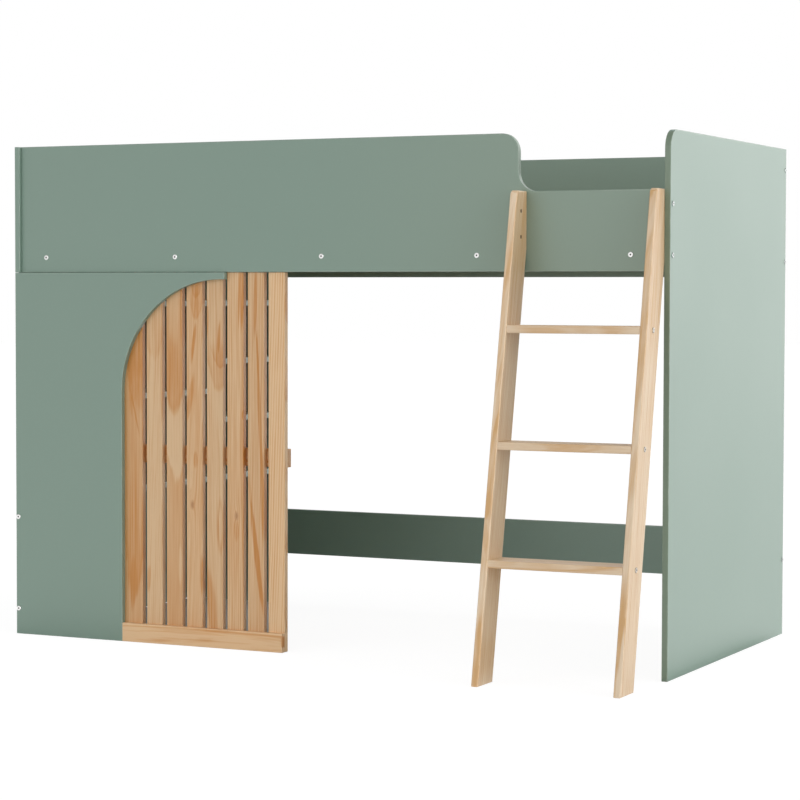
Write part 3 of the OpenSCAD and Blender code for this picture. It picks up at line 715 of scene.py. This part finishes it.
mesh = prism_mesh("screen_foot_rail", square(0, 0, BOARD, FOOT_RAIL_TOP, CORNER_R), ARCH_X, SCREEN_END,
                  "X", SCREEN_EASE)
grain(mesh, (GRAIN_X, 0, FOOT_RAIL_MID), LYING, ring=9, pith=(-9, 55), slant=(0.010, 0.006),
      look=(0.60, 0.5), tone=(-0.18, 1.11), fine=1.7, seed=3.1,
      streaks=[(3, SCREEN_END - GRAIN_X, 18, 3, 0, 1.2), (-8, 60, 2.5, 260, 0, 0.3),
               (9, -60, 2, 200, 0, 0.22)])
show("foot_rail", mesh, PINE, "screen_foot_rail")
mesh = prism_mesh("screen_mid_rail",
                  square(SCREEN_BACK, MID_RAIL_Z[0], SCREEN_BACK + SLAT_T, MID_RAIL_Z[1], CORNER_R),
                  SCREEN_START, SCREEN_END, "X", SCREEN_EASE)
mesh = sunk(mesh, mid_screws, -BACK)
grain(mesh, (GRAIN_X, SCREEN_BACK, MID_RAIL_MID), LYING, ring=8, pith=(6, 40), slant=(0.01, 0.01),
      look=(0.8, 0.6), tone=(0.45, 0.93), seed=5.7)
show("mid_rail", mesh, PINE, "screen_mid_rail")

for name, y in (("front_side_rail", GUARD_BACK), ("rear_side_rail", REAR_FACE - SIDE_RAIL_T)):
    mesh = prism_mesh(name, square(y, SIDE_RAIL_Z[0], y + SIDE_RAIL_T, SIDE_RAIL_Z[1], CORNER_R),
                      *INNER_X, "X", SHARP_EASE)
    grain(mesh, (BED.x / 2, y, SIDE_RAIL_MID), LYING, ring=8, pith=(8, 60), slant=(0.002, 0.006),
          tone=(0.05, 0.98), seed=y * 0.01)
    show("timber_" + name, mesh, PINE, name)
for i, x in enumerate(base_mid, 1):
    node = f"base_slat_{i}"
    half = BASE_SLAT_W / 2
    mesh = prism_mesh(node, square(x - half, SIDE_RAIL_Z[1], x + half, BASE_SLAT_TOP, CORNER_R),
                      GUARD_BACK + BASE_SLAT_GAP, REAR_FACE - BASE_SLAT_GAP, "Y", SHARP_EASE)
    mesh = sunk(mesh, [place for place in base_screws if abs(place[0] - x) < 1], -UP)
    drift = math.sin(i * 2.7)
    grain(mesh, (x, GRAIN_Y, BASE_SLAT_TOP), (BACK, RIGHT, -UP), ring=8 + 4 * abs(drift),
          pith=(35 * drift, 75 + 30 * math.cos(i * 1.9)), slant=(0.01 * drift, 0.02 * math.cos(i * 3.1)),
          tone=(0.1 * drift, 1 + 0.03 * math.sin(i * 5.1)), seed=i * 3.9)
    show(f"bed_slat_{i}", mesh, PINE, node)


# ---------------------------------------------------------------- ladder
STILE_AXES = (Vector((0, LEAN, 1)).normalized(), RIGHT, Vector((0, 1, -LEAN)).normalized())
FOOT_W = STILE_W / math.cos(LEAN_ANGLE)
HEAD_CUT = 7
stile_outline = [
    (-REACH, 0, 1.5), (FOOT_W - REACH, 0, 1.5), (GUARD_FRONT, (GUARD_FRONT + REACH - FOOT_W) / LEAN, 4),
    (GUARD_FRONT, LOW_TOP, 2), (stile_front(LOW_TOP) + HEAD_CUT, LOW_TOP, 6),
    (stile_front(LOW_TOP - HEAD_CUT), LOW_TOP - HEAD_CUT, 6),
]
STILE_STREAKS = {
    "left": [(0, 470, 30, 250, 0, 0.22), (-3, -158, 8, 40, 0.05, 0.45), (-1, -240, 8, 42, -0.05, 0.45),
             (0, -530, 12, 100, 0, 0.5), (6, -330, 5, 50, 0.05, 0.3)],
    "right": [(-2, 480, 30, 270, 0, 0.24), (-7, 250, 4, 160, 0.02, 0.4), (-4, -480, 9, 150, 0, 0.26),
              (-6, -150, 3, 90, 0.03, 0.3)],
}
STILE_GRAIN_Z, RUNG_GRAIN_X = 600, 1755
NUT_HOLE = STILE_T / 2 + NUT_HALF
for side, x0, inner, out in (("left", LADDER_X[0], STILE_INNER_X[0], -1),
                             ("right", STILE_INNER_X[1], STILE_INNER_X[1], 1)):
    node = f"ladder_{side}_stile"
    mesh = prism_mesh(node, stile_outline, x0, x0 + STILE_T, "X", ease=3.6, steps=5)
    mesh = bored(mesh, [((inner, LADDER_NUT_Y, z), (out, 0, 0), NUT_R, NUT_HOLE) for z in LADDER_BOLT_Z])
    grain(mesh, (x0 + STILE_T / 2, stile_front(STILE_GRAIN_Z), STILE_GRAIN_Z), STILE_AXES, ring=7,
          pith=(-14 * out, 140), slant=(0.004, -0.012 * out), look=(0.55, 0.5),
          tone=(0.02, 1.03 - 0.03 * out), fine=2.2, seed=11 + out, streaks=STILE_STREAKS[side])
    show(f"{side}_stile", mesh, PALE_PINE, node)
for i, z in enumerate(RUNG_Z, 1):
    node = f"ladder_rung_{i}"
    y = stile_front(z + RUNG_T)
    mesh = prism_mesh(node, square(y, z, y + RUNG_D, z + RUNG_T, 2.4), *STILE_INNER_X, "X", ease=0.3,
                      steps=2)
    mesh = bored(mesh, [((x, rung_mid(z), z), UP, NUT_R, NUT_HOLE) for x in RUNG_NUT_X])
    grain(mesh, (RUNG_GRAIN_X, y, z), LYING, ring=6, pith=(30 - 8 * i, 70), slant=(0.004, 0.012),
          look=(0.6, 0.5), tone=(0.04, 1.0), fine=1.8, seed=20 + i * 3.3)
    show(f"rung_{i}", mesh, PALE_PINE, node)


# ---------------------------------------------------------------- fasteners
def circle(angle):
    return 1.0


def hexagon(angle):
    return math.cos(math.pi / 6) / math.cos(angle % (math.pi / 3) - math.pi / 6)


def cross(angle):
    return max(0.3, abs(math.cos(2 * angle)) ** 4)


def fluted(angle):
    return 1 - 0.05 * (math.cos(10 * angle) > 0)


def turned(profile, segments=24, tube=False):
    """A turned solid about +Z. profile lists (height, radius) from one end to the other, or (height,
    radius, shape, recess) where it isn't round or lies in a recess, which its material darkens with
    painted shade. A tube's profile runs up its outside and back down its bore."""
    bm = bmesh.new()
    recess = bm.verts.layers.float.new("recess")
    loops = []
    for height, radius, *form in profile:
        shape, hidden = form or (circle, 0)
        loop = []
        for i in range(segments):
            angle = math.tau * i / segments
            r = radius * shape(angle)
            place = (r * math.cos(angle) / 1000, r * math.sin(angle) / 1000, height / 1000)
            vertex = bm.verts.new(place)
            vertex[recess] = hidden
            loop.append(vertex)
        loops.append(loop)
    skin(bm, loops, tube)
    bmesh.ops.recalc_face_normals(bm, faces=bm.faces)
    return mesh_from(bm, "turned")


def thread(start, end, crest, root, pitch):
    made = []
    for k in range(int((end - start) / pitch)):
        z = start + k * pitch
        made += [(z, crest), (z + pitch / 2, root)]
    return made


def bolt(length):
    """A flat-headed bolt with a hexagon socket, from its seat at height 0 along +Z."""
    socket = [(-0.5, 2.25, hexagon, 1), (-1.75, 2.3, hexagon, 1), (-1.95, 2.55, hexagon, 0.5)]
    head = [(-2, 2.9), (-2, 5.9), (-1.85, 6.5), (-1.3, 6.93), (-0.2, 7), (0, 6.9), (0, 3)]
    return turned(socket + head + thread(length - 18, length - 1, 3, 2.6, 1.5) + [(length, 2.1)])


def screw(length):
    """A countersunk wood screw with a cross recess, its head flush with the face at height 0."""
    recess = [(1.9, 0.5, cross, 1), (0.2, 2.5, cross, 1), (0.05, 2.7, cross, 0.3)]
    head = [(0.05, 4.3), (0.3, 4.4), (3, 2), (length / 3, 1.9)]
    return turned(recess + head + thread(length / 3 + 1, length - 5, 2, 1.35, 1.8) + [(length, 0.2)])


def insert():
    outside = [(0, 4.7)] + thread(0.4, 15.4, 5, 4.5, 2.5) + [(16, 4.7)]
    return turned(outside + [(16, 3.1), (0, 3.1)], tube=True)


def dowel():
    return turned([(-15, 2.3), (-14.2, 3, fluted, 0), (14.2, 3, fluted, 0), (15, 2.3)], 40)


def barrel_nut(bolt_depth):
    """A barrel nut in its hole, crossed by a bolt along X, with a slot in the end that shows."""
    start, end = bolt_depth - NUT_HALF, bolt_depth + NUT_HALF
    body = turned([(start, 4.4), (start + 0.5, 4.98), (end - 0.5, 4.98), (end, 4.4)], 32)
    slot_w, slot_l, slot_d, bolt_r, bolt_l = 0.0014, 0.012, 0.003, 0.0031, 0.02
    cutter = bmesh.new()
    made = bmesh.ops.create_cube(cutter, size=1)
    bmesh.ops.scale(cutter, vec=(slot_w, slot_l, slot_d), verts=made["verts"])
    bmesh.ops.translate(cutter, vec=(0, 0, start / 1000), verts=made["verts"])
    made = bmesh.ops.create_cone(cutter, cap_ends=True, segments=24, radius1=bolt_r, radius2=bolt_r,
                                 depth=bolt_l)
    bmesh.ops.transform(cutter, matrix=turned_to(RIGHT, (0, 0, bolt_depth / 1000)), verts=made["verts"])
    mesh = less(body, cutter)
    slot_floor = start / 1000 + slot_d / 2
    # Painted shade: full in the slot, and nearly as much over the rest of the nut, as it lies deep in its
    # hole
    for vertex, value in zip(mesh.vertices, mesh.attributes["recess"].data):
        in_slot = vertex.co.z < slot_floor + 0.0001 and abs(vertex.co.x) < slot_w / 2 + 0.00005
        value.value = 1.0 if in_slot else 0.92
    return mesh


def copies(parts):
    """One mesh of copies of meshes, given as (mesh, seat, direction, side): +Z turns to the direction
    and +X to the side."""
    bm = bmesh.new()
    for mesh, seat, direction, side in parts:
        z = Vector(direction).normalized()
        x = (Vector(side) - z * z.dot(Vector(side))).normalized()
        y = z.cross(x)
        turn = Matrix(((x.x, y.x, z.x), (x.y, y.y, z.y), (x.z, y.z, z.z))).to_4x4()
        turn.translation = metres(seat)
        before = len(bm.verts)
        bm.from_mesh(mesh)
        bm.verts.ensure_lookup_table()
        bmesh.ops.transform(bm, matrix=turn, verts=bm.verts[before:])
    return mesh_from(bm, "copies")


def fasten(name, node, parts, paint=ZINC):
    """Shows fasteners as one piece; without a side, each is turned by its own angle."""
    golden_angle = 2.399
    turned_parts = []
    for k, (mesh, seat, direction, *side) in enumerate(parts):
        any_side = Vector(direction).orthogonal()
        any_side.rotate(Quaternion(direction, golden_angle * k))
        turned_parts.append((mesh, seat, direction, side[0] if side else any_side))
    show(name, copies(turned_parts), paint, node)


end_bolt, side_rail_bolt, ladder_bolt, rung_bolt, arch_screw = (
    bolt(length) for length in (END_BOLT, SIDE_RAIL_BOLT, LADDER_BOLT, RUNG_BOLT, ARCH_SCREW))
mid_screw, foot_screw, base_screw, case_screw = (screw(length) for length in (32, 30, 35, 50))
board_nut, ladder_nut = barrel_nut(HALF_BOARD), barrel_nut(STILE_T / 2)
rail_insert = insert()
stile_mid = (LADDER_X[0] + STILE_T / 2, LADDER_X[1] - STILE_T / 2)

fasten("hex_end_bolts", "end_panel_bolts",
       [(end_bolt, (0, y, z), RIGHT) for y, z in left_bolts] +
       [(end_bolt, (BED.x, y, z), -RIGHT) for y, z in right_bolts], GREY_ZINC)
fasten("slotted_end_nuts", "end_barrel_nuts",
       [(board_nut, nut, -BACK, RIGHT) for nut in front_nuts + rear_nuts])
fasten("hex_rail_bolts", "side_rail_bolts",
       [(side_rail_bolt, (x, GUARD_FRONT, SIDE_RAIL_MID), BACK) for x in SIDE_RAIL_BOLT_X] +
       [(side_rail_bolt, (x, BED.y, SIDE_RAIL_MID), -BACK) for x in SIDE_RAIL_BOLT_X])
fasten("threaded_inserts", "side_rail_inserts",
       [(rail_insert, (x, GUARD_BACK, SIDE_RAIL_MID), BACK) for x in SIDE_RAIL_BOLT_X] +
       [(rail_insert, (x, REAR_FACE, SIDE_RAIL_MID), -BACK) for x in SIDE_RAIL_BOLT_X])
fasten("hex_ladder_bolts", "ladder_bolts",
       [(ladder_bolt, (x, GUARD_BACK, z), -BACK) for x in stile_mid for z in LADDER_BOLT_Z])
fasten("slotted_ladder_nuts", "ladder_barrel_nuts",
       [(ladder_nut, (x, LADDER_NUT_Y, z), way, BACK) for z in LADDER_BOLT_Z
        for x, way in zip(STILE_INNER_X, (-RIGHT, RIGHT))], DULL_ZINC)
fasten("hex_rung_bolts", "rung_bolts",
       [(rung_bolt, (x, rung_mid(z), z + RUNG_T / 2), way) for z in RUNG_Z
        for x, way in zip(LADDER_X, (RIGHT, -RIGHT))], DULL_ZINC)
fasten("slotted_rung_nuts", "rung_barrel_nuts",
       [(ladder_nut, (x, rung_mid(z), z), UP, RIGHT) for z in RUNG_Z for x in RUNG_NUT_X])
fasten("flat_arch_screws", "arch_screws",
       [(arch_screw, (HALF_BOARD, 0, z), BACK) for z in ARCH_SCREW_Z])
fasten("cross_screen_screws", "screen_screws",
       [(mid_screw, place, -BACK) for place in mid_screws] +
       [(foot_screw, place, -BACK) for place in foot_screws + head_screws])
fasten("cross_base_screws", "base_slat_screws", [(base_screw, place, -UP) for place in base_screws])
fasten("cross_case_screws", "bookcase_screws", [(case_screw, mouth, way) for mouth, way in case_screws])

mesh = copies([(dowel(), (x, DOWEL_Y, GUARD_Z), UP, RIGHT) for x in slat_mid])
grain(mesh, (GRAIN_X, DOWEL_Y, GUARD_Z), UPRIGHT, ring=1.6, pith=(2, 40), look=(0.5, 0.4), seed=2.2)
show("fluted_dowels", mesh, BEECH, "screen_dowels")


# ---------------------------------------------------------------- studio
# The soft lights of the white room by their direction, strength and narrowness, those that a surface
# mirrors, and the strength that it mirrors from everywhere
WINDOWS = [((-0.28, -0.96, 0), 2.21, 4), ((1, 0.05, 0), 2.90, 4), ((0, 0, 1), 1.15, 4)]
MIRRORED = [((-0.05, -1, 0), 1.6, 4), ((0.45, 0.89, 0), 3.05, 4), ((0.87, -0.50, 0), 12.0, 10)]
MIRRORED_ROOM = 0.5


def white_room():
    world = bpy.data.worlds.new("studio")
    bpy.context.scene.world = world
    world.use_nodes = True
    t = Tree(world.node_tree)
    path = t.node("LightPath").outputs
    look = t.node("TexCoord").outputs["Generated"]
    sums = []
    for total, lights in ((0.0, WINDOWS), (MIRRORED_ROOM, MIRRORED)):
        for toward, power, narrowness in lights:
            facing = t.math("MAXIMUM", t.vector("DOT_PRODUCT", look, Vector(toward).normalized()), 0.0)
            total = t.math("MULTIPLY_ADD", t.math("POWER", facing, narrowness), power, total)
        sums.append(total)
    strength = t.span(path["Is Glossy Ray"], 0, 1, *sums)
    strength = t.span(path["Is Camera Ray"], 0, 1, strength, 1.0)
    sky = t.node("Background", {"Color": WHITE, "Strength": strength})
    t.node("OutputWorld", {0: sky.outputs[0]})


# How pale the floor is to light that falls on it, and how strongly the open floor is mirrored. The
# camera sees it lit up to white, with faint shadows. Only the den's floor behind the screen is plain:
# it ends at the line of sight past the last slat, which runs SIGHT_SLOPE metres to the left for each
# metre back, and at three straight lines. Each line fades between two places, in metres, and so does
# the floor under the bed, which a gloss sees plain.
FLOOR_PALE, FLOOR_MIRRORED = 0.75, 1.85
FLOOR_SHADED, FLOOR_LIT = 0.16, 0.915
SIGHT_SLOPE, SIGHT_EDGE = 0.5547, (-0.325, -0.295)
DEN_FRONT, DEN_BACK, DEN_LEFT = (-0.335, -0.325), (0.60, 0.63), (-0.97, -0.96)
UNDER_X, UNDER_Y = (1.0, 1.1), (0.35, 0.7)


def grey(level):
    return (level, level, level, 1)


def floor_material():
    made, t = material("floor")
    path = t.node("LightPath").outputs
    x, y = t.parts(t.node("TexCoord").outputs["Object"])[:2]
    plain = t.node("BsdfDiffuse", {"Color": grey(FLOOR_PALE)}).outputs[0]
    shaded = t.node("BsdfDiffuse", {"Color": grey(FLOOR_SHADED)}).outputs[0]
    lit = t.node("Emission", {"Color": WHITE, "Strength": FLOOR_LIT}).outputs[0]
    bright = t.node("AddShader", {0: shaded, 1: lit}).outputs[0]
    beyond = t.math("MULTIPLY_ADD", y, SIGHT_SLOPE, x)
    inside = t.math("MULTIPLY", t.fade(beyond, *SIGHT_EDGE), t.span(y, *DEN_FRONT))
    inside = t.math("MULTIPLY", inside, t.fade(y, *DEN_BACK))
    inside = t.math("MULTIPLY", inside, t.span(x, *DEN_LEFT))
    seen = t.node("MixShader", {0: inside, 1: bright, 2: plain}).outputs[0]
    open_floor = t.node("Emission", {"Color": WHITE, "Strength": FLOOR_MIRRORED}).outputs[0]
    under_x = t.fade(t.math("ABSOLUTE", x), *UNDER_X)
    under = t.math("MULTIPLY", under_x, t.fade(t.math("ABSOLUTE", y), *UNDER_Y))
    glossy = t.node("MixShader", {0: under, 1: open_floor, 2: plain}).outputs[0]
    other = t.node("MixShader", {0: path["Is Glossy Ray"], 1: plain, 2: glossy}).outputs[0]
    surface = t.node("MixShader", {0: path["Is Camera Ray"], 1: other, 2: seen}).outputs[0]
    t.node("OutputMaterial", {"Surface": surface})
    return made


def pale_floor():
    bm = bmesh.new()
    bmesh.ops.create_circle(bm, cap_ends=True, segments=64, radius=40)
    mesh = mesh_from(bm, "floor")
    mesh.materials.append(floor_material())
    floor = bpy.data.objects.new("floor", mesh)
    floor.location.z = -0.0005
    bpy.context.scene.collection.objects.link(floor)


white_room()
pale_floor()


# ---------------------------------------------------------------- camera
# Solved from the straight edges of the panels in the photo
CAMERA_PLACE = (3.04735, -6.15575, 0.97758)
CAMERA_TURN = (1.527124, -0.002202, 0.450912)
CAMERA_LENS, CAMERA_SENSOR, CAMERA_FAR = 110.1075, 36, 200

camera_data = bpy.data.cameras.new("camera")
camera_data.lens = CAMERA_LENS
camera_data.sensor_width = CAMERA_SENSOR
camera_data.clip_end = CAMERA_FAR
camera = bpy.data.objects.new("camera", camera_data)
camera.location = CAMERA_PLACE
camera.rotation_euler = CAMERA_TURN
bpy.context.scene.collection.objects.link(camera)
bpy.context.scene.camera = camera
bpy.context.scene.view_settings.view_transform = "Standard"
